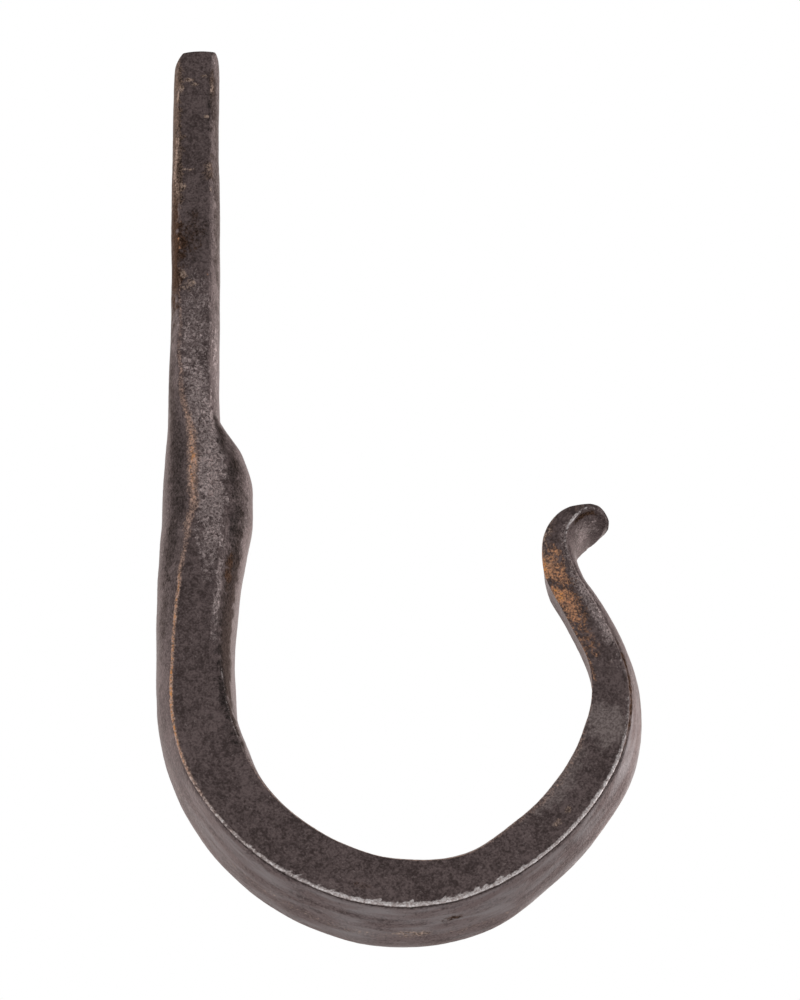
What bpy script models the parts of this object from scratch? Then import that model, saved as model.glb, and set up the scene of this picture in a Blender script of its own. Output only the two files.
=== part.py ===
"""Hand-forged hanging hook, modelled as the single bar of iron that it is.

The bar starts as a driving tang, swells into an upset shoulder, runs down into a limb, bends
round an open bowl, draws down to a slim rising limb and ends in a fanned tip that is rolled
outwards.

Frame: metres, +Z up along the tang, +X from the tang towards the tip, +Y towards the back of
the hook.  The origin is on the tang's axis, at the shoulder line where the tang's seat begins.
"""

import math

import bmesh
import bpy
import numpy as np

MM = 0.001

# ---------------------------------------------------------------- driving dimensions (mm)

TANG_LENGTH = 84.5          # from the shoulder line up to the blunt end
NECK_LENGTH = 65.5          # from the shoulder line down to where the bowl begins
MAX_RING_STEP = 3.0         # longest stretch of bar between two rings
MAX_RING_TURN = 4.0         # largest turn, in degrees, between two rings

# The bar's centreline, from the tang's end to the tip: name, length in mm, turn in degrees.
# A positive turn bends towards the mouth of the hook.
BENDS = [
    ("tang", TANG_LENGTH, 0.0),
    ("neck", NECK_LENGTH, 3.0),
    ("heel", 24.0, 33.0),
    ("bowl_left", 24.0, 32.0),
    ("bowl_bottom", 29.0, 47.0),
    ("bowl_right", 31.0, 40.0),
    ("rise", 10.0, 13.0),
    ("turn_in", 14.0, 28.0),
    ("limb", 16.0, 13.0),
    ("curl_rise", 10.0, -27.0),
    ("curl", 11.0, -82.0),
    ("curl_end", 5.6, -73.0),
]

# The bar's section, in mm, at named places along it.  Each row gives the distance from the
# tang's end, then the front face's reach to the outer and to the inner (mouth) side, the
# widest reach to each side, and the depth in front of and behind the centreline.  The last
# row's negative depth behind means that the fan's very edge lies wholly in front of it.
SECTIONS = [
    # place             along  face_out face_in wide_out wide_in front back
    ("tang_end",          0.0,     2.4,    4.6,     4.1,    5.0,  4.4,  5.0),
    ("tang_corner",       1.8,     3.2,    3.8,     4.7,    5.0,  4.7,  5.0),
    ("tang_upper",       15.0,     3.3,    3.3,     4.9,    5.0,  4.8,  5.0),
    ("tang_middle",      45.0,     3.2,    3.4,     5.0,    5.3,  5.2,  5.0),
    ("tang_lower",       60.0,     3.1,    3.5,     4.8,    5.3,  5.4,  5.0),
    ("tang_root",        78.0,     2.9,    3.5,     5.1,    5.2,  5.8,  5.0),
    ("shoulder_start",   86.0,     1.8,    3.6,     5.3,    5.5,  6.3,  5.3),
    ("shoulder_slope",   94.0,     0.8,    4.6,     5.8,   10.1,  7.0,  6.0),
    ("shoulder_crest",  102.0,     0.4,    7.3,     6.3,   12.0,  7.6,  6.8),
    ("shoulder_full",   108.0,     0.5,    7.0,     6.6,   11.9,  7.8,  7.2),
    ("shoulder_fall",   115.0,     1.6,    5.6,     7.1,   10.6,  7.8,  7.6),
    ("limb_top",        125.0,     3.2,    5.0,     7.7,    8.8,  7.8,  7.8),
    ("limb_middle",     140.0,     4.8,    4.8,     8.3,    7.2,  8.0,  8.0),
    ("limb_foot",       150.0,     5.5,    5.5,     8.5,    7.3,  8.0,  8.2),
    ("heel_start",      162.0,     5.7,    6.2,     8.0,    7.9,  8.1,  8.5),
    ("heel_end",        176.0,     5.3,    6.1,     7.6,    7.0,  8.2,  8.8),
    ("bowl_left",       195.0,     4.9,    5.9,     7.6,    6.2,  8.1,  8.8),
    ("bowl_bottom",     213.0,     4.8,    4.9,     7.7,    5.9,  7.6,  8.6),
    ("bowl_turn",       225.0,     4.4,    4.1,     7.6,    5.7,  7.1,  8.2),
    ("bowl_right",      238.0,     3.9,    5.1,     6.3,    5.6,  6.4,  7.4),
    ("rise_start",      250.0,     3.6,    5.2,     6.4,    5.2,  5.3,  6.2),
    ("rise_end",        262.0,     3.8,    4.9,     7.3,    4.4,  4.2,  4.9),
    ("limb_bend",       277.0,     3.6,    3.7,     6.4,    3.1,  3.6,  4.2),
    ("limb_start",      283.0,     3.3,    3.4,     6.2,    2.7,  3.6,  4.0),
    ("slim_limb",       290.0,     3.0,    3.8,     5.8,    2.9,  3.6,  3.8),
    ("limb_end",        302.0,     2.8,    3.4,     4.8,    2.9,  3.9,  4.0),
    ("curl_base",       309.0,     2.3,    2.6,     3.8,    3.0,  4.7,  5.6),
    ("curl_middle",     315.0,     1.8,    1.7,     2.7,    2.0,  5.5,  6.8),
    ("fan",             319.5,     0.8,    0.5,     1.8,    0.9,  5.8,  7.8),
    ("fan_side",        321.5,     0.7,    0.5,     1.4,    0.7,  5.4,  7.9),
    ("fan_shoulder",    322.6,     0.6,    0.4,     1.2,    0.5,  4.7,  7.0),
    ("fan_corner",      323.6,     0.5,    0.3,     1.0,    0.4,  3.8,  4.6),
    ("fan_end",         324.3,     0.4,    0.3,     0.9,    0.4,  2.8,  1.6),
    ("fan_edge",        324.6,     0.4,    0.2,     0.8,    0.3,  2.0, -0.4),
]

# Degrees by which the section leans back towards the outer side, about its front edge.
TWIST = [(300.0, 0.0), (309.0, 7.0), (315.0, 11.0), (320.0, 8.0), (324.6, 2.0)]

# The bar's flanks: how much of the flare from front face to widest reach has been gained
# (second value) at a fraction of the depth (first value), from the front face backwards.
ROUND_FLANK = [(0.0, 0.0), (0.14, 0.45), (0.32, 0.82), (0.60, 1.0), (0.86, 0.98)]
FLAT_FLANK = [(0.0, 0.0), (0.14, 0.22), (0.32, 0.46), (0.60, 0.76), (0.86, 0.94)]
# How flat the outer flank is forged (second value) at a distance along the bar (first value).
OUTER_FLATNESS = [(150.0, 0.0), (172.0, 1.0), (272.0, 1.0), (292.0, 0.3), (306.0, 0.0)]
BACK_ROUND = 0.11           # back corner's round-over, as a fraction of the bar's half width

IRON_COLOUR = (0.060, 0.048, 0.045, 1.0)
IRON_ROUGHNESS = 0.45
IRON_METALLIC = 0.85


# ---------------------------------------------------------------- helpers

def clear_scene():
    for item in list(bpy.data.objects):
        bpy.data.objects.remove(item, do_unlink=True)


def make_iron():
    iron = bpy.data.materials.new("forged_iron")
    iron.use_nodes = True
    shader = iron.node_tree.nodes["Principled BSDF"]
    shader.inputs["Base Color"].default_value = IRON_COLOUR
    shader.inputs["Roughness"].default_value = IRON_ROUGHNESS
    shader.inputs["Metallic"].default_value = IRON_METALLIC
    return iron


def centreline_rings():
    """Distance along the bar, position and heading of each ring, starting at the tang's end."""
    distance, x, z, heading = 0.0, 0.0, TANG_LENGTH, -90.0
    rings = [(distance, x, z, heading)]
    for _, length, turn in BENDS:
        steps = math.ceil(max(length / MAX_RING_STEP, abs(turn) / MAX_RING_TURN))
        for _ in range(steps):
            middle = math.radians(heading + turn / steps / 2)
            x += length / steps * math.cos(middle)
            z += length / steps * math.sin(middle)
            heading += turn / steps
            distance += length / steps
            rings.append((distance, x, z, heading))
    return rings


def monotone_slopes(along, values):
    """Slopes for a smooth curve that never swings past the values it joins."""
    steps = np.diff(along)
    rates = np.diff(values) / steps
    slopes = np.zeros(len(values))
    slopes[0] = rates[0]
    slopes[-1] = rates[-1]
    for i in range(1, len(values) - 1):
        before, after = rates[i - 1], rates[i]
        if before * after > 0:
            slopes[i] = 2 * before * after / (before + after)
    return slopes


def value_at(distance, along, values):
    """The value at a distance along the bar, on a smooth curve through the given ones."""
    along = np.array(along)
    values = np.array(values)
    slopes = monotone_slopes(along, values)
    i = int(np.clip(np.searchsorted(along, distance) - 1, 0, len(along) - 2))
    span = along[i + 1] - along[i]
    t = min(max((distance - along[i]) / span, 0.0), 1.0)
    return (
        values[i] * (1 + 2 * t) * (1 - t) ** 2
        + slopes[i] * span * t * (1 - t) ** 2
        + values[i + 1] * t * t * (3 - 2 * t)
        - slopes[i + 1] * span * t * t * (1 - t)
    )


def section_sizes(distance):
    """The six section sizes at a distance along the bar, in the order of SECTIONS."""
    along = [row[1] for row in SECTIONS]
    return [value_at(distance, along, [row[column] for row in SECTIONS]) for column in range(2, 8)]


def outer_gains(distance):
    """The outer flank's gains, between the round flank's and the flat one's."""
    flatness = value_at(distance, *zip(*OUTER_FLATNESS))
    return [(1 - flatness) * soft[1] + flatness * flat[1] for soft, flat in zip(ROUND_FLANK, FLAT_FLANK)]


def leaned(across, deep, front, lean):
    """A point of the section, turned about the middle of the section's front edge."""
    reach = deep + front
    return (
        across * math.cos(lean) - reach * math.sin(lean),
        across * math.sin(lean) + reach * math.cos(lean) - front,
    )


def section_outline(distance):
    """Closed outline of the bar as (across, deep) points; across grows towards the mouth."""
    face_out, face_in, wide_out, wide_in, front, back = section_sizes(distance)
    corner = BACK_ROUND * (wide_out + wide_in) / 2
    levels = [-front + (front + back) * part for part, _ in ROUND_FLANK]
    inner = [face_in + (wide_in - face_in) * gain for _, gain in ROUND_FLANK]
    outer = [-face_out - (wide_out - face_out) * gain for gain in outer_gains(distance)]
    outline = list(zip(inner, levels))
    outline += [(wide_in - corner, back), (corner - wide_out, back)]
    outline += list(zip(outer, levels))[::-1]
    lean = math.radians(value_at(distance, *zip(*TWIST)))
    return [leaned(across, deep, front, lean) for across, deep in outline]


# ---------------------------------------------------------------- the hook

def build_hook(iron):
    """Loft the bar's section along its centreline and close both ends."""
    mesh = bmesh.new()
    rings = []
    for distance, x, z, heading in centreline_rings():
        across_x = -math.sin(math.radians(heading))
        across_z = math.cos(math.radians(heading))
        ring = [
            mesh.verts.new(((x + across * across_x) * MM, deep * MM, (z + across * across_z) * MM))
            for across, deep in section_outline(distance)
        ]
        rings.append(ring)
    for ring, following in zip(rings, rings[1:]):
        for i, corner in enumerate(ring):
            j = (i + 1) % len(ring)
            mesh.faces.new((corner, ring[j], following[j], following[i]))
    mesh.faces.new(rings[0])
    mesh.faces.new(rings[-1])
    bmesh.ops.recalc_face_normals(mesh, faces=mesh.faces)

    data = bpy.data.meshes.new("forged_hook")
    mesh.to_mesh(data)
    mesh.free()
    data.shade_smooth()
    data.set_sharp_from_angle(angle=math.radians(40))
    data.materials.append(iron)
    hook = bpy.data.objects.new("forged_hook", data)
    bpy.context.scene.collection.objects.link(hook)
    return hook


clear_scene()
build_hook(make_iron())
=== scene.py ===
"""Looks of the hand-forged hanging hook: its fine surface, its iron, the light and the camera.

The hook is lofted again from the driving values of its CAD model, at a much finer step, and the
marks of forging and use are worked into that surface.  Lengths in the tables are millimetres.
"""

import math

import bpy
import numpy as np
from mathutils import Matrix, Vector, noise


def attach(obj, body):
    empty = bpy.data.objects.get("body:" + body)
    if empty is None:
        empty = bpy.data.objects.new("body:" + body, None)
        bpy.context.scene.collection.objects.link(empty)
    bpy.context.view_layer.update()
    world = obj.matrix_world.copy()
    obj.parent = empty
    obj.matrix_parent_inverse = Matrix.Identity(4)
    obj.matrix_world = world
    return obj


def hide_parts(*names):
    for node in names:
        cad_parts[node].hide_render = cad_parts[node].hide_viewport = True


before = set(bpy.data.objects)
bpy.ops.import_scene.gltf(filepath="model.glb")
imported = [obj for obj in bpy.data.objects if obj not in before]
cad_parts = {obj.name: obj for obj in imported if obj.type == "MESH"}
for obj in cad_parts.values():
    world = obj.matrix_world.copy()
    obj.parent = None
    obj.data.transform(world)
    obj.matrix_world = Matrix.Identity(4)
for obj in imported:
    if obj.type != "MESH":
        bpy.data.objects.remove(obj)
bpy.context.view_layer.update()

MM = 0.001

# ---------------------------------------------------------------- the bar, as in the CAD model

TANG_LENGTH = 84.5

# Stretch of the centreline, its length, and its turn in degrees (positive towards the mouth).
BENDS = [
    ("tang", TANG_LENGTH, 0.0),
    ("neck", 65.5, 3.0),
    ("heel", 24.0, 33.0),
    ("bowl_left", 24.0, 32.0),
    ("bowl_bottom", 29.0, 47.0),
    ("bowl_right", 31.0, 40.0),
    ("rise", 10.0, 13.0),
    ("turn_in", 14.0, 28.0),
    ("limb", 16.0, 13.0),
    ("curl_rise", 10.0, -27.0),
    ("curl", 11.0, -82.0),
    ("curl_end", 5.6, -73.0),
]

# Place along the bar, then the front face's reach to the outer and to the mouth side, the widest
# reach to each side, and the depth in front of and behind the centreline.
SECTIONS = [
    ("tang_end",          0.0,     2.4,    4.6,     4.1,    5.0,  4.4,  5.0),
    ("tang_corner",       1.8,     3.2,    3.8,     4.7,    5.0,  4.7,  5.0),
    ("tang_upper",       15.0,     3.3,    3.3,     4.9,    5.0,  4.8,  5.0),
    ("tang_middle",      45.0,     3.2,    3.4,     5.0,    5.3,  5.2,  5.0),
    ("tang_lower",       60.0,     3.1,    3.5,     4.8,    5.3,  5.4,  5.0),
    ("tang_root",        78.0,     2.9,    3.5,     5.1,    5.2,  5.8,  5.0),
    ("shoulder_start",   86.0,     1.8,    3.6,     5.3,    5.5,  6.3,  5.3),
    ("shoulder_slope",   94.0,     0.8,    4.6,     5.8,   10.1,  7.0,  6.0),
    ("shoulder_crest",  102.0,     0.4,    7.3,     6.3,   12.0,  7.6,  6.8),
    ("shoulder_full",   108.0,     0.5,    7.0,     6.6,   11.9,  7.8,  7.2),
    ("shoulder_fall",   115.0,     1.6,    5.6,     7.1,   10.6,  7.8,  7.6),
    ("limb_top",        125.0,     3.2,    5.0,     7.7,    8.8,  7.8,  7.8),
    ("limb_middle",     140.0,     4.8,    4.8,     8.3,    7.2,  8.0,  8.0),
    ("limb_foot",       150.0,     5.5,    5.5,     8.5,    7.3,  8.0,  8.2),
    ("heel_start",      162.0,     5.7,    6.2,     8.0,    7.9,  8.1,  8.5),
    ("heel_end",        176.0,     5.3,    6.1,     7.6,    7.0,  8.2,  8.8),
    ("bowl_left",       195.0,     4.9,    5.9,     7.6,    6.2,  8.1,  8.8),
    ("bowl_bottom",     213.0,     4.8,    4.9,     7.7,    5.9,  7.6,  8.6),
    ("bowl_turn",       225.0,     4.4,    4.1,     7.6,    5.7,  7.1,  8.2),
    ("bowl_right",      238.0,     3.9,    5.1,     6.3,    5.6,  6.4,  7.4),
    ("rise_start",      250.0,     3.6,    5.2,     6.4,    5.2,  5.3,  6.2),
    ("rise_end",        262.0,     3.8,    4.9,     7.3,    4.4,  4.2,  4.9),
    ("limb_bend",       277.0,     3.6,    3.7,     6.4,    3.1,  3.6,  4.2),
    ("limb_start",      283.0,     3.3,    3.4,     6.2,    2.7,  3.6,  4.0),
    ("slim_limb",       290.0,     3.0,    3.8,     5.8,    2.9,  3.6,  3.8),
    ("limb_end",        302.0,     2.8,    3.4,     4.8,    2.9,  3.9,  4.0),
    ("curl_base",       309.0,     2.3,    2.6,     3.8,    3.0,  4.7,  5.6),
    ("curl_middle",     315.0,     1.8,    1.7,     2.7,    2.0,  5.5,  6.8),
    ("fan",             319.5,     0.8,    0.5,     1.8,    0.9,  5.8,  7.8),
    ("fan_side",        321.5,     0.7,    0.5,     1.4,    0.7,  5.4,  7.9),
    ("fan_shoulder",    322.6,     0.6,    0.4,     1.2,    0.5,  4.7,  7.0),
    ("fan_corner",      323.6,     0.5,    0.3,     1.0,    0.4,  3.8,  4.6),
    ("fan_end",         324.3,     0.4,    0.3,     0.9,    0.4,  2.8,  1.6),
    ("fan_edge",        324.6,     0.4,    0.2,     0.8,    0.3,  2.0, -0.4),
]

# Degrees by which the section leans back towards the outer side, about its front edge.
TWIST = [(300, 0), (309, 7), (315, 11), (320, 8), (324.6, 2)]

# Share of a flank's flare reached at each share of the depth, from the front face backwards:
# rounded off with the hammer on the tang and limb, and forged flat round the bowl.
ROUND_FLANK = [(0.0, 0.0), (0.14, 0.45), (0.32, 0.82), (0.60, 1.0), (0.86, 0.98), (1.0, 0.90)]
FLAT_FLANK = [(0.0, 0.0), (0.14, 0.22), (0.32, 0.46), (0.60, 0.76), (0.86, 0.94), (1.0, 0.90)]
# Where along the bar the outer flank is flat, and how flat.
OUTER_FLATNESS = [(150, 0.0), (172, 1.0), (272, 1.0), (292, 0.3), (306, 0.0)]

# ---------------------------------------------------------------- fineness of the surface

RING_STEP = 0.366           # along the bar
CENTRELINE_POINTS = 20001   # over which the centreline's turns are summed up
FRONT_POINTS = 36           # round the section: front face, each flank and back
FLANK_POINTS = 30
BACK_POINTS = 14
FRONT_PULL = 0.75           # how strongly those points crowd towards the corners
FLANK_PULL = 0.7
BACK_PULL = 0.5
RIDGE_SOFTNESS = 2.0        # rounding of each corner of the section, in points
INNER_SOFTNESS = 3.4
BACK_SOFTNESS = 2.2
FACE_SOFTNESS = 1.2
CORNER_REACH = 3.0          # how far from a corner its own rounding holds, in points
OUTER_START = 0.6           # share of the way round from which girth is counted backwards

CAP_RINGS = 10              # rings that close each end
TANG_DOME = 0.50            # how far each end's middle stands out
TIP_DOME = 0.2
END_RISE = 0.55             # how far the tang's end stands up in its middle
END_ARCH = 1.10             # and how far it falls away from there at its corners
END_MIDDLE = 1.0            # where across the bar that middle is
END_HALF_WIDTH = 5.0
END_DEPTH = 2.5             # how far down the tang this shape fades out
EDGE_WANDER = 0.55          # how far the hammer left the front's edges from their true line
WANDER_SIZE = 4.5           # length of one waver of the edges
WANDER_SPAN = (2, 130, 10)  # where along the bar they waver: start, end and fading length


def monotone_slopes(along, values):
    """Slopes for a smooth curve that never swings past the values it joins."""
    rates = np.diff(values) / np.diff(along)
    slopes = np.concatenate([rates[:1], np.zeros(len(values) - 2), rates[-1:]])
    for i, (before, after) in enumerate(zip(rates, rates[1:]), start=1):
        if before * after > 0:
            slopes[i] = 2 * before * after / (before + after)
    return slopes


def smooth_curve(places, along, values):
    """Values at the places, on a smooth monotone curve through the given points."""
    along, values = np.array(along, float), np.array(values, float)
    slopes = monotone_slopes(along, values)
    i = np.clip(np.searchsorted(along, places) - 1, 0, len(along) - 2)
    span = along[i + 1] - along[i]
    t = np.clip((places - along[i]) / span, 0, 1)
    return (
        values[i] * (1 + 2 * t) * (1 - t) ** 2
        + slopes[i] * span * t * (1 - t) ** 2
        + values[i + 1] * t * t * (3 - 2 * t)
        - slopes[i + 1] * span * t * t * (1 - t)
    )


def centreline(places):
    """Position (x, z) and heading, in radians, of the bar's centreline at each place."""
    lengths = np.cumsum([0.0] + [length for _, length, _ in BENDS])
    turns = np.cumsum([0.0] + [turn for _, _, turn in BENDS])
    fine = np.linspace(0, lengths[-1], CENTRELINE_POINTS)
    heading = np.radians(-90 + np.interp(fine, lengths, turns))
    middle = (heading[1:] + heading[:-1]) / 2
    step = fine[1]
    x = np.concatenate([[0], np.cumsum(step * np.cos(middle))])
    z = TANG_LENGTH + np.concatenate([[0], np.cumsum(step * np.sin(middle))])
    return np.interp(places, fine, x), np.interp(places, fine, z), np.interp(places, fine, heading)


def clustered(count, pull):
    """Shares from 0 up to, but not including, 1, drawn towards both ends by pull."""
    even = np.arange(count) / count
    return (1 - pull) * even + pull * (1 - np.cos(np.pi * even)) / 2


def window(value, start, end, soft):
    """1 between start and end, fading out over a soft length at each."""
    inside = np.clip(np.minimum(value - start, end - value) / soft + 0.5, 0, 1)
    return inside * inside * (3 - 2 * inside)


def unevenness(places, size, seed):
    """Smooth random values, mostly between -0.6 and 0.6, one for each place along the bar."""
    return np.array([[noise.noise((place / size, 31.7 * seed, 0.0))] for place in places.tolist()])


def section_outlines(places):
    """Outline of the bar at each place, as (across, deep); across grows towards the mouth."""
    along = [row[1] for row in SECTIONS]
    sizes = [smooth_curve(places, along, [row[i] for row in SECTIONS]) for i in range(2, 8)]
    face_out, face_in, wide_out, wide_in, front, back = [size[:, None] for size in sizes]
    wander = window(places, *WANDER_SPAN)[:, None] * EDGE_WANDER
    face_out = face_out + wander * unevenness(places, WANDER_SIZE, 12)
    face_in = face_in + wander * unevenness(places, WANDER_SIZE, 13)
    depth = front + back
    face = clustered(FRONT_POINTS, FRONT_PULL)[None, :]
    rear = clustered(BACK_POINTS, BACK_PULL)[None, :]
    down = clustered(FLANK_POINTS, FLANK_PULL)[None, :]
    up = 1 - down
    flatness = smooth_curve(places, *zip(*OUTER_FLATNESS))[:, None]
    gain_in = smooth_curve(down, *zip(*ROUND_FLANK))
    gain_out = smooth_curve(up, *zip(*ROUND_FLANK)) * (1 - flatness)
    gain_out = gain_out + smooth_curve(up, *zip(*FLAT_FLANK)) * flatness
    back_in = face_in + (wide_in - face_in) * ROUND_FLANK[-1][1]
    back_out = -face_out - (wide_out - face_out) * gain_out[:, :1]
    across = np.concatenate([
        -face_out + (face_out + face_in) * face,
        face_in + (wide_in - face_in) * gain_in,
        back_in + (back_out - back_in) * rear,
        -face_out - (wide_out - face_out) * gain_out,
    ], axis=1)
    deep = np.concatenate([
        -front + 0 * face,
        -front + depth * down,
        back + 0 * rear,
        -front + depth * up,
    ], axis=1)
    lean = np.radians(smooth_curve(places, *zip(*TWIST)))[:, None]
    reach = deep + front
    deep = across * np.sin(lean) + reach * np.cos(lean) - front
    across = across * np.cos(lean) - reach * np.sin(lean)
    return np.stack([across, deep], axis=2)


def softening(count):
    """Weights that round the section's corners, each row adding up to 1."""
    softness = np.full(count, FACE_SOFTNESS)
    corners = [
        (0, RIDGE_SOFTNESS),
        (FRONT_POINTS, INNER_SOFTNESS),
        (FRONT_POINTS + FLANK_POINTS, BACK_SOFTNESS),
        (FRONT_POINTS + FLANK_POINTS + BACK_POINTS, BACK_SOFTNESS),
    ]
    index = np.arange(count)
    for corner, value in corners:
        away = np.abs((index - corner + count // 2) % count - count // 2)
        near = np.exp(-0.5 * (away / CORNER_REACH) ** 2)
        softness += (value - FACE_SOFTNESS) * near
    away = (index[None, :] - index[:, None] + count // 2) % count - count // 2
    weights = np.exp(-0.5 * (away / softness[:, None]) ** 2)
    return weights / weights.sum(axis=1, keepdims=True)


def lofted_bar():
    """The bar as a grid of points, rings by points round, with its own coordinates.

    Girth is the distance round the section from the front's outer ridge: positive across the
    front and on round the inner flank, and negative on the outer flank.
    """
    length = sum(length for _, length, _ in BENDS)
    places = np.linspace(TANG_DOME, length - TIP_DOME, int(length / RING_STEP))
    outline = section_outlines(places)
    outline = np.einsum("ij,rjk->rik", softening(outline.shape[1]), outline)
    across, deep = outline[:, :, 0], outline[:, :, 1]
    x, z, heading = [value[:, None] for value in centreline(places)]
    points = np.stack([x - across * np.sin(heading), deep, z + across * np.cos(heading)], axis=2)
    along = np.repeat(places[:, None], outline.shape[1], axis=1)
    arch = END_RISE - END_ARCH * ((across - END_MIDDLE) / END_HALF_WIDTH) ** 2
    points[:, :, 2] += arch * np.exp(-along / END_DEPTH)
    steps = np.linalg.norm(np.roll(outline, -1, axis=1) - outline, axis=2)
    girth = np.cumsum(steps, axis=1) - steps
    whole = steps.sum(axis=1, keepdims=True)
    girth = np.where(girth > whole * OUTER_START, girth - whole, girth)
    return points, along, across, deep, girth


def outward(points):
    """Unit normals of the grid, pointing out of the bar."""
    along = np.gradient(points, axis=0)
    around = np.roll(points, -1, axis=1) - np.roll(points, 1, axis=1)
    normals = np.cross(around, along)
    normals /= np.linalg.norm(normals, axis=2, keepdims=True) + 1e-12
    centre = points.mean(axis=1, keepdims=True)
    if np.sum(normals * (points - centre)) < 0:
        normals = -normals
    return normals


# ---------------------------------------------------------------- marks of the hammer and of use, and painted light and shade

# Patches on the surface: kind, place along the bar, distance from the front's outer ridge (across
# the front, or negative on the outer flank), half length, half width, and strength.
# Some paint light and shade rather than stains: dark bands and lines where the iron lies in shade,
# and lighter patches where it catches the light.
PATCHES = [
    # tang
    ("bark", 24.0, -3.0, 40.0, 3.4, 1.5),
    ("bark", 6.0, -0.5, 6.0, 1.6, 1.0),
    ("bark", 20.0, -0.2, 14.0, 0.9, 0.9),
    ("bark", 31.0, 0.0, 9.0, 1.5, 1.1),
    ("bark", 8.6, 7.3, 4.6, 1.2, 1.2),
    ("bark", 29.0, 7.0, 3.4, 1.8, 0.8),
    ("flake", 7.4, 1.9, 0.5, 1.2, 1.2),
    ("flake", 8.4, 3.2, 0.5, 1.1, 0.9),
    ("flake", 9.4, 0.3, 0.9, 0.7, 1.2),
    ("flake", 11.0, -0.5, 1.6, 0.7, 1.1),
    ("flake", 6.4, 5.2, 0.4, 1.2, 0.9),
    ("flake", 9.3, 7.0, 1.6, 0.6, 0.8),
    ("flake", 16.4, 5.8, 0.4, 0.5, 1.2),
    ("flake", 29.4, 2.4, 0.35, 1.7, 1.0),
    ("flake", 28.8, 6.6, 1.2, 0.8, 0.8),
    ("flake", 33.4, 1.0, 1.2, 0.8, 0.7),
    ("flake", 33.8, 6.9, 0.9, 0.6, 0.9),
    ("flake", 27.0, -0.9, 8.0, 0.9, 0.95),
    ("soot_and_shade", 13.0, 8.0, 11.0, 2.6, 0.85),
    ("soot_and_shade", 30.0, 10.5, 44.0, 3.4, 0.75),
    ("soot_and_shade", 25.0, 3.0, 22.0, 5.0, 0.34),
    ("soot_and_shade", 45.0, 3.0, 10.0, 5.0, 0.6),
    ("umber_and_shade", 50.0, -3.0, 13.0, 4.6, 1.8),
    ("umber_and_shade", 45.0, 3.0, 7.0, 3.4, 0.6),
    ("rust", 11.9, -0.5, 0.7, 0.5, 1.1),
    ("rust", 46.2, -0.1, 0.6, 0.4, 0.8),
    ("rust", 48.4, 0.5, 0.4, 0.4, 1.0),
    # Painted shade: a dark band along the outer flank of the tang, neck and limb, where it lies in
    # shade.
    ("soot_and_shade", 92.0, -3.4, 64.0, 2.8, 0.75),
    # neck
    ("flake", 54.4, 1.4, 1.2, 0.7, 1.2),
    ("flake", 57.5, 2.2, 1.8, 1.6, 0.6),
    ("rust", 54.6, 6.2, 0.9, 0.5, 0.5),
    # Painted light: a lighter patch high on the tang's mouth-side flank, where it catches the
    # light.
    ("ash_and_painted_light", 3.0, 7.4, 3.6, 1.0, 0.55),
    ("ash_and_painted_light", 66.0, 3.4, 15.0, 4.6, 0.62),
    ("ash_and_painted_light", 84.0, 3.6, 16.0, 3.8, 0.82),
    ("ash_and_painted_light", 74.0, 9.6, 16.0, 1.8, 0.7),
    # shoulder
    ("ash_and_painted_light", 101.0, 4.4, 19.0, 3.3, 1.1),
    ("ash_and_painted_light", 116.0, 6.0, 10.0, 2.4, 0.9),
    ("ash_and_painted_light", 128.0, 8.5, 13.0, 1.1, 0.8),
    ("ash_and_painted_light", 110.0, 13.6, 13.0, 1.4, 0.6),
    # Painted shade: the four dark patches below and the brown one after them paint dark bands
    # along the mouth-side flank of the shoulder and limb, where its chamfer lies in shade.
    ("soot_and_shade", 92.0, 7.3, 7.0, 1.6, 0.85),
    ("soot_and_shade", 101.0, 9.5, 8.0, 1.8, 0.9),
    ("soot_and_shade", 111.0, 10.7, 8.0, 1.8, 0.9),
    ("soot_and_shade", 136.0, 12.2, 31.0, 3.3, 1.25),
    ("umber_and_shade", 122.5, 11.0, 5.0, 1.4, 0.85),
    # bowl
    ("umber_and_shade", 203.3, 3.3, 2.4, 1.0, 0.55),
    ("umber_and_shade", 219.0, -5.6, 2.8, 0.9, 0.9),
    ("flake", 200.0, -10.4, 46.0, 1.4, 0.30),
    ("flake", 212.5, -9.4, 3.4, 1.0, 0.7),
    ("flake", 243.5, 3.0, 1.4, 1.0, 0.6),
    ("flake", 247.3, 3.3, 0.9, 0.7, 0.7),
    ("dust", 252.0, 7.8, 14.0, 3.6, 0.75),
    ("dust", 267.5, 4.0, 6.0, 4.8, 0.95),
    # rising limb and tip
    ("umber_and_shade", 275.0, -0.8, 12.0, 0.8, 0.9),
    ("ash_and_painted_light", 293.0, 0.6, 13.0, 1.6, 0.95),
    ("umber_and_shade", 300.0, 4.2, 17.0, 3.8, 0.6),
    ("rust", 304.2, 6.0, 3.6, 1.7, 1.6),
    ("rust", 303.0, 3.6, 7.0, 2.4, 0.75),
    ("rust", 298.2, 5.4, 2.6, 1.6, 1.4),
    ("rust", 294.5, 4.6, 6.5, 2.4, 0.80),
    ("rust", 287.0, 4.6, 7.0, 2.0, 0.42),
    ("rust", 286.0, 6.3, 12.0, 0.5, 0.55),
    ("umber_and_shade", 312.5, 3.6, 3.4, 2.0, 0.5),
    ("flake", 313.0, 6.0, 10.0, 2.8, 0.90),
    # Painted highlight: a grey band along the tip's outer ridge, where its edge is lit.
    ("ash_and_painted_light", 311.0, 0.8, 9.0, 0.7, 0.55),
    ("bark", 318.0, 2.5, 6.0, 2.2, 0.5),
    ("ash_and_painted_light", 317.0, -5.5, 7.0, 4.0, 0.75),
    # Painted shadow: a dark line just under the tip's outer ridge, where the curl's underside is
    # shaded.
    ("umber_and_shade", 318.5, -1.2, 4.5, 0.7, 1.1),
]
PATCH_REACH = 1.25          # how far a patch reaches, in half lengths and widths
PATCH_FADE = 0.8            # over what part of that it fades out
PATCH_RAGGEDNESS = 0.45

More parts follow.
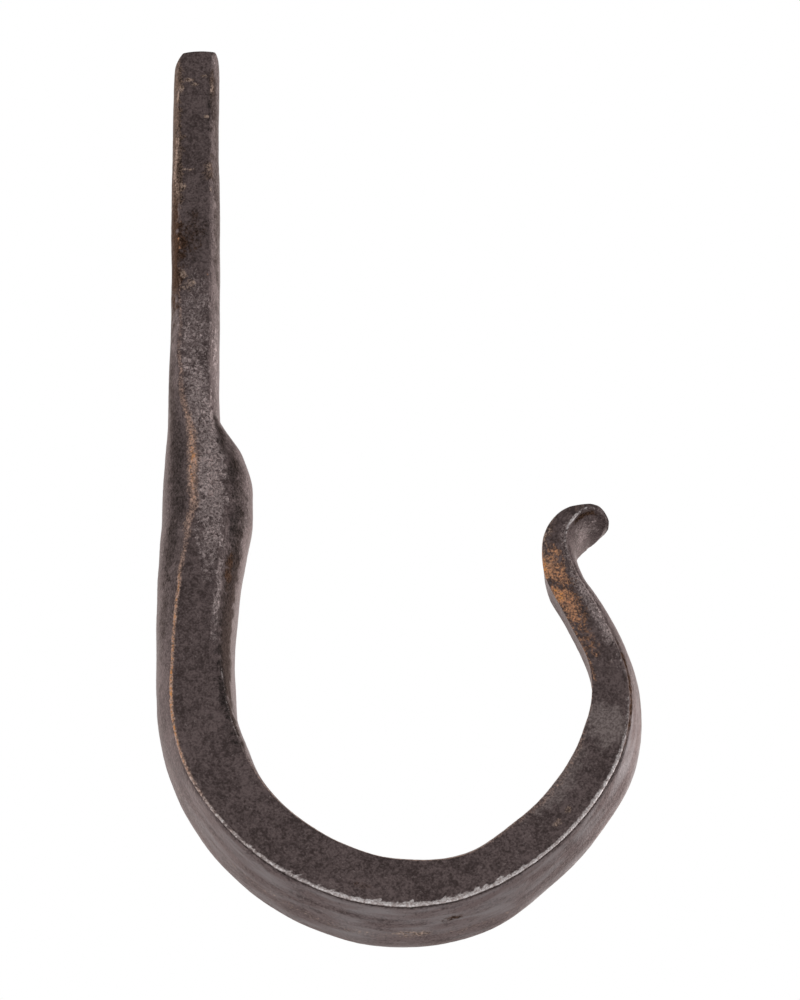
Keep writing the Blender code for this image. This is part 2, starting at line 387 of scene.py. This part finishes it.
# Wear of the front's two ridges: place along the bar, distance of the line's middle from the
# ridge, its half width, how coppery and how silvery it is.
OUTER_WEAR = [
    (0.0, 0.3, 0.30, 0.00, 0.00),
    (30.0, 0.3, 0.35, 0.25, 0.00),
    (55.0, 0.5, 0.40, 0.45, 0.00),
    (78.0, 0.6, 0.70, 0.60, 0.00),
    (88.0, 0.8, 1.05, 0.78, 0.00),
    (99.0, 0.8, 1.45, 1.02, 0.00),
    (110.0, 0.7, 1.35, 0.72, 0.00),
    (118.0, 0.5, 0.85, 0.62, 0.00),
    (126.0, 0.4, 0.52, 0.95, 0.00),
    (150.0, 0.30, 0.46, 1.25, 0.10),
    (162.0, 0.22, 0.46, 0.95, 0.30),
    (175.0, 0.20, 0.45, 0.65, 0.65),
    (192.0, 0.25, 0.45, 0.50, 0.90),
    (205.0, 0.28, 0.43, 0.40, 1.30),
    (215.0, 0.30, 0.48, 0.30, 1.40),
    (240.0, 0.20, 0.38, 0.20, 1.30),
    (258.0, 0.15, 0.50, 0.15, 0.90),
    (266.0, 0.20, 0.50, 0.15, 0.50),
    (276.0, 0.30, 0.45, 0.20, 0.30),
    (300.0, 0.30, 0.50, 0.40, 0.20),
    (311.0, 0.30, 0.35, 0.20, 0.50),
    (313.6, 0.30, 0.32, 0.10, 0.90),
    (315.4, 0.35, 0.40, 0.10, 1.60),
    (317.0, 0.35, 0.32, 0.10, 0.70),
    (320.0, 0.40, 0.40, 0.10, 0.40),
    (324.3, 0.40, 0.40, 0.20, 0.20),
]
MOUTH_WEAR = [
    (0.0, 0.0, 0.30, 0.00, 0.00),
    (84.0, 0.0, 0.30, 0.10, 0.00),
    (138.0, 0.0, 0.28, 0.10, 0.10),
    (146.0, -0.2, 0.34, 0.15, 0.38),
    (160.0, -0.2, 0.34, 0.20, 0.36),
    (172.0, -0.1, 0.35, 0.60, 0.20),
    (210.0, -0.1, 0.40, 0.80, 0.30),
    (232.0, -0.2, 0.60, 0.60, 0.20),
    (246.0, -0.6, 1.40, 0.45, 0.10),
    (258.0, -0.6, 1.40, 0.45, 0.05),
    (268.0, -0.1, 0.50, 0.55, 0.10),
    (285.0, 0.0, 0.25, 0.75, 0.00),
    (298.0, 0.0, 0.25, 0.30, 0.10),
    (324.3, 0.0, 0.25, 0.30, 0.30),
]

# Dents: place along the bar, distance from the outer ridge, radius and depth.
PITS = [
    (69.0, 3.1, 0.55, 0.30),
    (68.6, 4.4, 0.35, 0.18),
    (75.4, 1.9, 0.55, 0.35),
    (75.6, 2.7, 0.50, 0.32),
    (77.6, 1.2, 0.45, 0.25),
    (78.6, 1.8, 0.45, 0.25),
    (65.0, 5.3, 0.45, 0.20),
    (62.5, 4.4, 0.50, 0.16),
    (57.0, 1.8, 0.50, 0.22),
    (54.8, 6.7, 0.40, 0.22),
    (106.4, 4.3, 0.50, 0.25),
    (104.0, 4.4, 0.50, 0.22),
    (111.0, 3.6, 0.60, 0.25),
    (110.2, 8.2, 0.60, 0.22),
    (237.0, -4.4, 0.30, 0.12),
]
SCATTERED_PITS = 90
SCATTER_SEED = 11
SCATTER_RANGES = ((50, 122), (0.6, 7.5), (0.3, 0.6), (0.05, 0.2))   # of the four values above
WASTE = 0.12                # scale lost from the whole surface

# Creases and scratches: a straight mark from one place (along, across) to another, its half width
# and its depth.
CREASES = [
    (29.8, 1.8, 29.5, 7.2, 0.25, 0.08),
    (6.0, 1.5, 5.6, 6.6, 0.35, 0.08),
    (10.2, 0.4, 9.6, 4.0, 0.30, 0.07),
    (34.6, 4.6, 35.2, 6.6, 0.30, 0.10),
    (77.0, 1.4, 79.6, 2.2, 0.22, 0.14),
    (112.6, 2.6, 113.4, 4.4, 0.25, 0.18),
    (113.4, 4.4, 111.6, 6.0, 0.25, 0.20),
    (107.0, 6.4, 110.5, 8.8, 0.28, 0.16),
    (110.5, 8.8, 117.0, 9.8, 0.28, 0.18),
    (161.5, 6.6, 159.6, 7.8, 0.18, -0.10),
    (203.2, 7.8, 199.5, 6.6, 0.14, -0.06),
    (199.0, 3.2, 202.5, 5.2, 0.20, -0.10),
    (180.0, -4.6, 184.0, -5.4, 0.28, 0.12),
    (196.0, -7.0, 200.0, -7.2, 0.30, 0.06),
    (217.0, -5.4, 222.0, -5.9, 0.40, 0.10),
    (240.0, -5.5, 252.0, -5.2, 0.22, 0.05),
    (228.0, -6.2, 241.0, -6.6, 0.20, 0.06),
]

# Unevenness all over the bar: height, size along, across and through it, and seed.
SWELLS = [
    (0.15, (16, 8, 8), 1),
    (0.09, (6, 5, 5), 2),
]
FINE_HEIGHT = 0.03
FINE_SIZE = 0.9
CRUST_HEIGHT = 0.15         # of the ash grey crust
CRUST_GRIT = (1.5, 1.2, 1.2)
CRUST_SPAN = (52, 128, 16)  # where marks lie along the bar: start, end and fading length
BURR_HEIGHT = 0.20          # of the beaded burr on the outer ridge
BURR_SPAN = (162, 266, 14)
BEAD_LENGTH = 1.3
BEADING = 0.8
TEETH_HEIGHT = 0.14         # of the slanting teeth beside the burr
TEETH_SPAN = (196, 226, 10)
TEETH_SIZE = 0.8
SCAR_HEIGHT = 0.10          # of the rough scar on the outer flank
SCAR_SPAN = (200, 222, 6)
SCAR_OFFSET = -9.0          # from the outer ridge
SCAR_WIDTH = 0.9
# Plain lines: where they start and end, their fading length, the ridge they follow, the distance
# from it, half width and height; a negative height is a groove.
LINES = [
    (162, 266, 14, "outer", -0.80, 0.34, -0.20),
    (300, 322, 6, "outer", 0.2, 0.5, 0.12),
    (300, 322, 6, "outer", -0.75, 0.35, -0.16),
    (268, 300, 6, "mouth", 0.35, 0.25, -0.10),
    (268, 300, 6, "outer", -0.6, 0.3, -0.10),
]
FRAYING = 1.3               # how far the outer ridge's wear frays across the front
FRAYING_SPAN = (184, 232, 16)
FRAYING_SIZE = 0.75
BURR_SHADOW_SPAN = (160, 268, 12)  # where a painted shadow lines the outer ridge, under its burr
FLANK_SPAN = (168, 276, 20)  # where the outer flank is brushed smooth
FLANK_START = -0.9          # from the outer ridge
FLANK_FADE = 0.5


def rough(place, size, seed):
    """Smooth random values, mostly between -0.6 and 0.6, that vary over a size in mm."""
    lattice = place / np.array(size) + 31.7 * seed
    values = [noise.noise(point) for point in lattice.reshape(-1, 3).tolist()]
    return np.array(values).reshape(place.shape[:-1])


def hump(value, centre, width):
    """A smooth hump, 1 at the centre and nearly gone at twice the width."""
    return np.exp(-((value - centre) / width) ** 2)


def painted(kind, along, girth, ragged):
    """How strongly each point is covered by the patches of one kind."""
    cover = np.zeros(along.shape)
    for name, place, across, length, width, strength in PATCHES:
        if name == kind:
            reach = np.hypot((along - place) / length, (girth - across) / width)
            patch = np.clip((PATCH_REACH - reach + PATCH_RAGGEDNESS * ragged) / PATCH_FADE, 0, 1)
            cover = np.maximum(cover, strength * patch)
    return cover


def worn(table, along, offset):
    """The coppery and the silvery wear along one ridge."""
    places, middle, width, copper, silver = np.array(table).T
    line = hump(offset, np.interp(along, places, middle), np.interp(along, places, width))
    return line * np.interp(along, places, copper), line * np.interp(along, places, silver)


def pits(along, girth):
    """Depth of the dents, the named ones and those scattered over the rough neck."""
    chance = np.random.default_rng(SCATTER_SEED)
    scattered = [[chance.uniform(*ends) for ends in SCATTER_RANGES] for _ in range(SCATTERED_PITS)]
    depth = np.zeros(along.shape)
    for place, across, radius, deepest in PITS + scattered:
        depth += deepest * np.exp(-((along - place) ** 2 + (girth - across) ** 2) / radius ** 2)
    return depth


def creases(along, girth, wander):
    """Depth of the creases; a negative one is a raised scratch."""
    depth = np.zeros(along.shape)
    for along_0, across_0, along_1, across_1, width, deepest in CREASES:
        run = np.array([along_1 - along_0, across_1 - across_0])
        share = ((along - along_0) * run[0] + (girth - across_0) * run[1]) / (run @ run)
        share = np.clip(share, 0, 1)
        away = np.hypot(along - along_0 - share * run[0], girth - across_0 - share * run[1])
        depth += deepest * np.exp(-((away + 0.5 * width * wander) / width) ** 2)
    return depth


def slanting(along, girth, size, seed):
    """Random values drawn out into short slanting strokes across the front."""
    slanted = np.stack([along - 0.9 * girth, 0.25 * girth, 0 * along], axis=2)
    return rough(slanted, size, seed)


def relief(bar, along, girth, mouth_edge, ash_and_painted_light):
    """Height of the forging marks above the plain bar, in mm."""
    fine = rough(bar, FINE_SIZE, 3)
    height = FINE_HEIGHT * fine - WASTE
    for swell, size, seed in SWELLS:
        height += swell * rough(bar, size, seed)
    crust = 1 - 2.4 * np.abs(rough(bar, CRUST_GRIT, 4))
    height += CRUST_HEIGHT * ash_and_painted_light * crust * window(along, *CRUST_SPAN)
    beads = rough(np.stack([along, 0 * along, 0 * along], axis=2), BEAD_LENGTH, 5)
    burr = window(along, *BURR_SPAN) * hump(girth, 0.15, 0.42)
    height += BURR_HEIGHT * burr * (1 + BEADING * (beads + fine))
    teeth = window(along, *TEETH_SPAN) * hump(girth, 0.9, 0.7)
    height += TEETH_HEIGHT * teeth * slanting(along, girth, TEETH_SIZE, 6)
    scar = window(along, *SCAR_SPAN) * hump(girth, SCAR_OFFSET, SCAR_WIDTH)
    height += SCAR_HEIGHT * scar * rough(bar, 1.0, 7)
    for start, end, soft, ridge, offset, width, rise in LINES:
        away = mouth_edge if ridge == "mouth" else girth
        height += rise * window(along, start, end, soft) * hump(away, offset, width)
    return height - pits(along, girth) - creases(along, girth, 2 * fine)


def worked_bar():
    """The finished surface as a grid of points, and the fields that the iron's looks follow."""
    points, along, across, deep, girth = lofted_bar()
    bar = np.stack([along, across, deep], axis=2)
    mouth_edge = girth - girth[:, FRONT_POINTS:FRONT_POINTS + 1]
    ragged = rough(bar, 1.7, 8) + 0.7 * rough(bar, 0.7, 9)
    kinds = ("dust", "ash_and_painted_light", "bark", "soot_and_shade", "umber_and_shade", "rust", "flake")
    fields = {kind: painted(kind, along, girth, ragged) for kind in kinds}
    # Painted shadow: a dark line along the outer flank just below the burr, where the burr shades
    # it.
    burr_shadow_line = window(along, *BURR_SHADOW_SPAN) * hump(girth, -0.75, 0.32)
    fields["soot_and_shade"] = np.maximum(fields["soot_and_shade"], burr_shadow_line)

    fraying = np.clip(slanting(along, girth, FRAYING_SIZE, 12), 0, 1)
    fraying = fraying * window(along, *FRAYING_SPAN)
    frayed = girth - FRAYING * fraying * np.clip(girth, 0, 1)
    outer_copper, outer_silver = worn(OUTER_WEAR, along, frayed)
    mouth_copper, mouth_silver = worn(MOUTH_WEAR, along, mouth_edge)
    sparkle = 1.1 + 0.5 * rough(bar, (0.7, 3.0, 3.0), 10)
    fields["copper"] = np.maximum(outer_copper, mouth_copper)
    fields["silver"] = np.maximum(outer_silver, mouth_silver) * sparkle
    outer_flank = np.clip((FLANK_START - girth) / FLANK_FADE, 0, 1)
    fields["outer"] = window(along, *FLANK_SPAN) * outer_flank
    fields["bar"] = bar

    height = relief(bar, along, girth, mouth_edge, fields["ash_and_painted_light"])
    return points + outward(points) * height[:, :, None], fields


def ring_faces(loop, following, forwards):
    """Quads between two loops of vertices, facing out of the bar."""
    corners = [loop, np.roll(loop, -1), np.roll(following, -1), following]
    return np.stack(corners if forwards else corners[::-1], axis=1)


def make_mesh(name, grid, fields):
    """A closed mesh from the grid, its ends closed by shrinking rings, with its fields."""
    rings, round_points = grid.shape[:2]
    loops = np.arange(rings * round_points).reshape(rings, round_points)
    vertices = [grid.reshape(-1, 3)]
    values = {key: [field.reshape(rings * round_points, -1)] for key, field in fields.items()}
    quads = [ring_faces(loop, following, True) for loop, following in zip(loops, loops[1:])]
    fans = []
    start = rings * round_points
    shares = 1 - np.arange(1, CAP_RINGS) / CAP_RINGS
    for ring, dome, direction in ((0, TANG_DOME, -1), (rings - 1, TIP_DOME, 1)):
        edge = grid[ring]
        centre = edge.mean(axis=0)
        heading = centre - grid[ring - direction].mean(axis=0)
        heading /= np.linalg.norm(heading)
        for share in shares:
            rise = dome * (1 - share ** 2)
            vertices.append(centre + (edge - centre) * share + heading * rise)
        vertices.append((centre + heading * dome)[None, :])
        for key, field in fields.items():
            side = field[ring].reshape(round_points, -1)
            middle = side.mean(axis=0)
            for share in shares:
                values[key].append(middle + (side - middle) * share)
            values[key].append(middle[None, :])
        last = loops[ring]
        for _ in shares:
            following = np.arange(start, start + round_points)
            quads.append(ring_faces(last, following, direction > 0))
            last = following
            start += round_points
        corners = [last, np.roll(last, -1), np.full(round_points, start)]
        fans.append(np.stack(corners if direction > 0 else corners[::-1], axis=1))
        start += 1

    faces = np.concatenate(quads).tolist() + np.concatenate(fans).tolist()
    mesh = bpy.data.meshes.new(name)
    mesh.from_pydata((np.concatenate(vertices) * MM).tolist(), [], faces)
    mesh.shade_smooth()
    for key, parts in values.items():
        data = np.concatenate(parts).astype(np.float32)
        vector = data.shape[1] == 3
        layer = mesh.attributes.new(key, "FLOAT_VECTOR" if vector else "FLOAT", "POINT")
        layer.data.foreach_set("vector" if vector else "value", data.ravel())
    return mesh


# ---------------------------------------------------------------- iron

IRON = ((0.087, 0.065, 0.063), (0.238, 0.185, 0.180))
# Painted sheen: lighter grey over the outer flank, standing in for its reflection of the bright
# tent.
PAINTED_SHEEN = (0.400, 0.372, 0.376)
# Light specks over the iron, partly painted glints and partly fine light scratches.
SPECK = (0.520, 0.440, 0.425)
# Each kind of patch, in the order in which they lie: its darker and its lighter colour, and how
# ragged its edge is.
PATCH_KINDS = {
    "dust": ((0.215, 0.176, 0.168), (0.385, 0.322, 0.308), 0.7),
    # Grey crust, and lighter patches painted where the iron catches the light.
    "ash_and_painted_light": ((0.115, 0.088, 0.085), (0.850, 0.710, 0.690), 2.0),
    "bark": ((0.036, 0.025, 0.020), (0.300, 0.210, 0.165), 1.8),
    # Dark scale, and dark bands and lines painted where the iron lies in shade.
    "soot_and_shade": ((0.031, 0.025, 0.024), (0.088, 0.070, 0.067), 1.2),
    # Dark brown stains, and a few dark patches painted where the iron lies in shade.
    "umber_and_shade": ((0.032, 0.018, 0.012), (0.130, 0.076, 0.053), 1.6),
    "rust": ((0.250, 0.150, 0.108), (0.960, 0.500, 0.270), 1.7),
    "flake": ((0.160, 0.112, 0.088), (0.640, 0.480, 0.390), 2.8),
    "copper": ((0.300, 0.205, 0.170), (0.900, 0.620, 0.490), 1.5),
    "silver": ((0.560, 0.480, 0.465), (1.000, 0.950, 0.945), 1.6),
}
GOLD = (1.000, 0.450, 0.130)
EDGE_TINTS = ((0.930, 0.850, 0.820), (0.600, 0.530, 0.498))

# Patterns in the iron, each with its size in mm, its detail and its distortion.
CLOUDS = (7.0, 3.0)
MOTTLE = (1.3, 4.0, 0.6)
GRAIN = (0.42, 2.0, 0.4)
FLECKS = (0.62, 3.0, 0.9)
STREAKS = (1.0, 3.0)
PAINTED_SHEEN_PATCHES = (1.0, 2.0, 0.3)
# Scaling of three of them along, across and through the bar; a small one draws them out.
FLECK_SCALE = (1.0, 1.3, 1.3)
STREAK_SCALE = (0.07, 0.9, 0.9)
PAINTED_SHEEN_SCALE = (0.10, 0.45, 0.45)
# Winding crests of the crust, painted lighter as highlights and raised by the bump: size,
# distortion, width and brightness.
CREST_LINES = ((1.5, 1.6, 0.09, 0.50), (0.8, 0.9, 0.13, 0.35))

PAINTED_SHEEN_AMOUNT = 0.60
SPECK_AMOUNT = 0.35
SMOOTHEST = 0.36            # roughness of the iron between oxide and wear
ROUGHEST = 0.50
OXIDE_ROUGHENS = 0.25
WEAR_SMOOTHS = 0.14
OXIDE_DULLS = 0.4           # metallic look that oxide and golden sparks take away
SPARKS_DULL = 0.45
CRUST_BUMP = 0.22           # heights of the finest relief, in mm
GRAIN_BUMP = 0.16
MOTTLE_BUMP = 0.20
STREAK_BUMP = 0.03
BRUSHED_BUMP = 0.45         # share of the grain and mottle left where the flank is brushed


class Graph:
    """Short ways to add shader nodes to one tree.

    A value that a node takes may be a number, a colour, a vector or another node's output.
    """

    def __init__(self, tree):
        self.tree = tree

    def node(self, kind, inputs, **settings):
        made = self.tree.nodes.new("ShaderNode" + kind)
        for name, value in settings.items():
            setattr(made, name, value)
        for name, value in inputs.items():
            if isinstance(value, bpy.types.NodeSocket):
                self.tree.links.new(value, made.inputs[name])
            else:
                made.inputs[name].default_value = value
        return made

    def field(self, name, output="Fac"):
        return self.node("Attribute", {}, attribute_name=name).outputs[output]

    def calc(self, operation, first, second=0.0):
        return self.node("Math", {0: first, 1: second}, operation=operation).outputs[0]

    def total(self, first, *others):
        for other in others:
            first = self.calc("ADD", first, other)
        return first

    def product(self, first, *others):
        for other in others:
            first = self.calc("MULTIPLY", first, other)
        return first

    def largest(self, first, *others):
        for other in others:
            first = self.calc("MAXIMUM", first, other)
        return first

    def fade(self, value, low, high, start=0.0, end=1.0):
        """Start where the value is low, end where it is high, and smoothly between."""
        ends = {"From Min": low, "From Max": high, "To Min": start, "To Max": end}
        inputs = {"Value": value, **ends}
        return self.node("MapRange", inputs, interpolation_type="SMOOTHSTEP").outputs["Result"]

    def mix(self, amount, below, above):
        inputs = {"Factor": amount, "A": below, "B": above}
        return self.node("Mix", inputs, data_type="RGBA").outputs["Result"]

    def scaled(self, vector, scale):
        inputs = {0: vector, 1: scale}
        return self.node("VectorMath", inputs, operation="MULTIPLY").outputs["Vector"]

    def noise(self, vector, size, detail=2.0, distortion=0.0):
        inputs = {"Vector": vector, "Scale": 1 / size, "Detail": detail, "Distortion": distortion}
        return self.node("TexNoise", inputs).outputs["Fac"]

    def worms(self, vector, size, distortion):
        """0 along winding lines, growing away from them."""
        value = self.noise(vector, size, 3.0, distortion)
        return self.calc("ABSOLUTE", self.calc("SUBTRACT", value, 0.5))


def colour(rgb):
    return (*rgb, 1.0)


def forged_iron():
    """Dark forge scale with grey crust, rust, and metal worn bright along the ridges, with painted
    shade, painted highlights and a painted sheen.
    """
    material = bpy.data.materials.new("forged_iron")
    material.use_nodes = True
    graph = Graph(material.node_tree)
    bar = graph.field("bar", "Vector")
    outer = graph.field("outer")
    clouds = graph.noise(bar, *CLOUDS)
    mottle = graph.noise(bar, *MOTTLE)
    grain = graph.noise(bar, *GRAIN)
    flecks = graph.noise(graph.scaled(bar, FLECK_SCALE), *FLECKS)
    streaks = graph.noise(graph.scaled(bar, STREAK_SCALE), *STREAKS)
    crests_and_highlights = graph.fade(grain, 0.30, 0.70, 0.0, 0.22)
    for size, distortion, width, brightness in CREST_LINES:
        line = graph.fade(graph.worms(bar, size, distortion), 0.0, width, 1.0, 0.0)
        crests_and_highlights = graph.total(crests_and_highlights, graph.product(line, brightness))
    crests_and_highlights = graph.product(crests_and_highlights, graph.fade(clouds, 0.32, 0.68, 0.70, 1.25))

    brushed = graph.product(graph.calc("SUBTRACT", streaks, 0.27), outer)
    shares = ((clouds, 0.22), (mottle, 0.36), (grain, 0.42), (brushed, 0.24))
    tone = graph.total(*(graph.product(pattern, share) for pattern, share in shares))
    base = graph.mix(graph.fade(tone, 0.385, 0.625), *(colour(rgb) for rgb in IRON))

    # Painted sheen: soft lighter patches over the outer flank, standing in for its reflection of
    # the tent.
    painted_sheen = graph.fade(graph.noise(graph.scaled(bar, PAINTED_SHEEN_SCALE), *PAINTED_SHEEN_PATCHES), 0.36, 0.72)
    base = graph.mix(graph.product(painted_sheen, outer, PAINTED_SHEEN_AMOUNT), base, colour(PAINTED_SHEEN))

    # Light specks: partly painted glints, partly fine light scratches.
    specks = graph.product(graph.fade(flecks, 0.62, 0.74), SPECK_AMOUNT)
    base = graph.mix(specks, base, colour(SPECK))

    covers = {}
    for kind, (dark, light, raggedness) in PATCH_KINDS.items():
        strength = graph.field(kind)
        spread = graph.product(graph.calc("SUBTRACT", flecks, 0.5), raggedness)
        ragged = graph.fade(graph.total(strength, spread), 0.25, 1.05)
        covers[kind] = graph.product(ragged, graph.fade(strength, 0.02, 0.40))
        # Painted highlights: the grey crust is coloured lighter along its winding crests.
        pattern = crests_and_highlights if kind == "ash_and_painted_light" else graph.fade(grain, 0.34, 0.66)
        base = graph.mix(covers[kind], base, graph.mix(pattern, colour(dark), colour(light)))
    glint = graph.largest(graph.field("rust"), graph.total(graph.field("copper"), 0.25))
    sparks = graph.product(
        graph.fade(flecks, 0.46, 0.60),
        graph.fade(mottle, 0.38, 0.54),
        graph.fade(glint, 0.95, 1.40),
    )
    base = graph.mix(sparks, base, colour(GOLD))

    dull = graph.largest(covers["bark"], covers["umber_and_shade"], covers["soot_and_shade"])
    tint = graph.mix(dull, *(colour(rgb) for rgb in EDGE_TINTS))

    oxide = graph.largest(covers["rust"], graph.product(covers["copper"], 0.5))
    metallic = graph.calc("SUBTRACT", 1.0, graph.product(oxide, OXIDE_DULLS))
    metallic = graph.calc("SUBTRACT", metallic, graph.product(sparks, SPARKS_DULL))
    roughness = graph.fade(mottle, 0.3, 0.7, SMOOTHEST, ROUGHEST)
    roughness = graph.total(roughness, graph.product(oxide, OXIDE_ROUGHENS))
    roughness = graph.calc("SUBTRACT", roughness, graph.product(covers["silver"], WEAR_SMOOTHS))

    crust = graph.product(crests_and_highlights, CRUST_BUMP, graph.field("ash_and_painted_light"))
    fine = graph.total(graph.product(grain, GRAIN_BUMP), graph.product(mottle, MOTTLE_BUMP))
    fine = graph.product(fine, graph.fade(outer, 0.0, 1.0, 1.0, BRUSHED_BUMP))
    height = graph.total(crust, fine, graph.product(streaks, STREAK_BUMP, outer))
    bump = graph.node("Bump", {"Height": height, "Distance": MM, "Strength": 1.0})

    shader = material.node_tree.nodes["Principled BSDF"]
    shader.inputs["Base Color"].default_value = colour(IRON[0])
    looks = {
        "Base Color": base,
        "Specular Tint": tint,
        "Metallic": metallic,
        "Roughness": roughness,
        "Normal": bump.outputs["Normal"],
    }
    for name, value in looks.items():
        material.node_tree.links.new(value, shader.inputs[name])
    return material


def make_hook():
    mesh = make_mesh("hook_iron", *worked_bar())
    mesh.materials.append(forged_iron())
    hook = bpy.data.objects.new("hook_iron", mesh)
    bpy.context.scene.collection.objects.link(hook)
    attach(hook, "root")
    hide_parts("forged_hook")


make_hook()

# ---------------------------------------------------------------- camera

VIEW_BELOW = 27.0           # degrees by which the camera looks up at the hook
VIEW_LEAN = 0.9             # degrees by which it leans over sideways
LENS = 150.0
VIEW_DISTANCE = 0.8333
AIM = Vector((0.04148, 0.0, -0.01993))


def make_camera():
    camera = bpy.data.objects.new("camera", bpy.data.cameras.new("camera"))
    camera.data.lens = LENS
    lean = Matrix.Rotation(math.radians(VIEW_LEAN), 4, "Y")
    lift = Matrix.Rotation(math.radians(90 + VIEW_BELOW), 4, "X")
    away = Matrix.Translation((0, 0, VIEW_DISTANCE))
    camera.matrix_world = Matrix.Translation(AIM) @ lean @ lift @ away
    bpy.context.scene.collection.objects.link(camera)
    bpy.context.scene.camera = camera


make_camera()

# ---------------------------------------------------------------- studio

ROOM_SIDE = (0.0, -0.8, 0.6)      # towards the middle of the dim room
ROOM_EDGE = (92.0, 68.0)          # degrees from there to the tent, and to the room's full dimness
GLOW_SIDE = (0.69, 0.69, -0.24)   # towards the tent's brightest side
GLOW_EDGE = (62.0, 15.0)
TENT_LIGHT = (1.05, 1.05, 1.06)
GLOW_LIGHT = (1.65, 1.63, 1.64)
ROOM_LIGHT = (0.42, 0.41, 0.41)
FLOOR_DROP = 0.5                  # from the tang's seat down to the floor
FLOOR_SIZE = 24.0
FLOOR_TONE = 0.92
FLOOR_ROUGHNESS = 0.9
HAZE = (0.595, 0.595, 0.605)      # the backdrop low down, where it meets the floor
HAZE_EDGE = (-3.0, 14.0)          # degrees above the horizon over which it clears to white


def near_direction(graph, place, side, edge):
    """1 towards a side, falling to 0 at the first of two angles from it."""
    inputs = {0: place, 1: Vector(side).normalized()}
    facing = graph.node("VectorMath", inputs, operation="DOT_PRODUCT").outputs["Value"]
    return graph.fade(facing, *(math.cos(math.radians(angle)) for angle in edge))


def make_studio():
    """Light as in a white tent, with the dimmer room on the camera's side.

    The camera itself sees a plain white backdrop that turns to haze low down.
    """
    world = bpy.data.worlds.new("studio")
    bpy.context.scene.world = world
    world.use_nodes = True
    graph = Graph(world.node_tree)
    place = graph.node("TexCoord", {}).outputs["Generated"]
    glow = near_direction(graph, place, GLOW_SIDE, GLOW_EDGE)
    room = near_direction(graph, place, ROOM_SIDE, ROOM_EDGE)
    light = graph.mix(glow, colour(TENT_LIGHT), colour(GLOW_LIGHT))
    light = graph.mix(room, light, colour(ROOM_LIGHT))
    rise = graph.node("SeparateXYZ", {"Vector": place}).outputs["Z"]
    clear = graph.fade(rise, *(math.sin(math.radians(angle)) for angle in HAZE_EDGE))
    backdrop = graph.mix(clear, colour(HAZE), colour((1, 1, 1)))
    seen = graph.node("LightPath", {}).outputs["Is Camera Ray"]
    shown = graph.mix(seen, light, backdrop)
    world.node_tree.links.new(shown, world.node_tree.nodes["Background"].inputs["Color"])
    bpy.context.scene.view_settings.view_transform = "Standard"


def make_floor():
    """A plain pale floor, far enough down to stay out of the camera's upward view."""
    half = FLOOR_SIZE / 2
    corners = [(-half, -half, 0), (half, -half, 0), (half, half, 0), (-half, half, 0)]
    mesh = bpy.data.meshes.new("floor")
    mesh.from_pydata(corners, [], [(0, 1, 2, 3)])
    paper = bpy.data.materials.new("paper")
    paper.use_nodes = True
    shader = paper.node_tree.nodes["Principled BSDF"]
    shader.inputs["Base Color"].default_value = colour((FLOOR_TONE,) * 3)
    shader.inputs["Roughness"].default_value = FLOOR_ROUGHNESS
    mesh.materials.append(paper)
    floor = bpy.data.objects.new("floor", mesh)
    floor.location.z = -FLOOR_DROP
    bpy.context.scene.collection.objects.link(floor)


make_studio()
make_floor()
